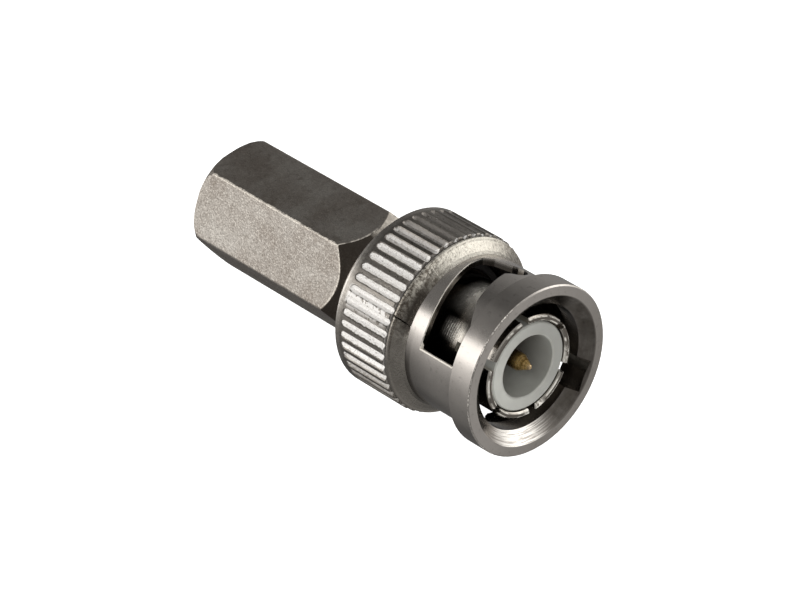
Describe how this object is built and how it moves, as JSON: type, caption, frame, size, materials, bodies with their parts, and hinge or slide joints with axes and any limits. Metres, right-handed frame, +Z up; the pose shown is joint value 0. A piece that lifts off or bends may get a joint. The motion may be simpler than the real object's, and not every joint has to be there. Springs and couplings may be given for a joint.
{
  "type": "bnc plug",
  "caption": "Bayonet coaxial cable plug with a knurled coupling sleeve, six spring contact fingers, a centre pin and a long hexagonal screw-on tail.",
  "frame": {"origin": "on the plug's axis at the tips of the contact fingers, the reference plane of the interface", "axes": "+X along the axis towards the mating socket, +Z up with a flat of the hexagon facing up, +Y to the left seen along +X"},
  "size_m": [0.0325, 0.014, 0.014],
  "materials": {
    "nickel_turned": "bright nickel plate over turned brass",
    "nickel_sleeve": "nickel plate, turned, soft sheen",
    "nickel_frosted": "frosted nickel plate",
    "nickel_grip": "nickel plate, bright flutes",
    "nickel_satin": "satin nickel plate with fine grain",
    "spring_steel": "plain spring steel",
    "white_insulator": "white insulator, soft sheen",
    "gold_plate": "thin gold plate",
    "gasket_rubber": "dark silicone"
  },
  "bodies": {
    "plug_body": {"front_shell": "nickel_turned", "front_insulator": "white_insulator", "rear_insulator": "white_insulator", "centre_pin": "gold_plate", "face_gasket": "gasket_rubber", "front_washer": "spring_steel", "wave_washer_1": "spring_steel", "wave_washer_2": "spring_steel", "wave_washer_3": "spring_steel", "hex_body": "nickel_satin"},
    "thrust": {"rear_washer": "spring_steel"},
    "coupling": {"bayonet_sleeve": "nickel_sleeve", "split_ring": "nickel_frosted", "knurled_ring": "nickel_grip", "retaining_ring": "spring_steel"}
  },
  "joints": [
    {"name": "coupling_float", "type": "slide", "parent": "plug_body", "child": "thrust", "axis": [1, 0, 0], "range_m": [0, 0.001], "stiffness_N_per_m": 8000, "springref_m": -0.0005, "deforming": ["wave_washer_1", "wave_washer_2", "wave_washer_3"]},
    {"name": "coupling_turn", "type": "hinge", "parent": "thrust", "child": "coupling", "pos_m": [-0.0105, 0, 0], "axis": [1, 0, 0], "continuous": true}
  ]
}
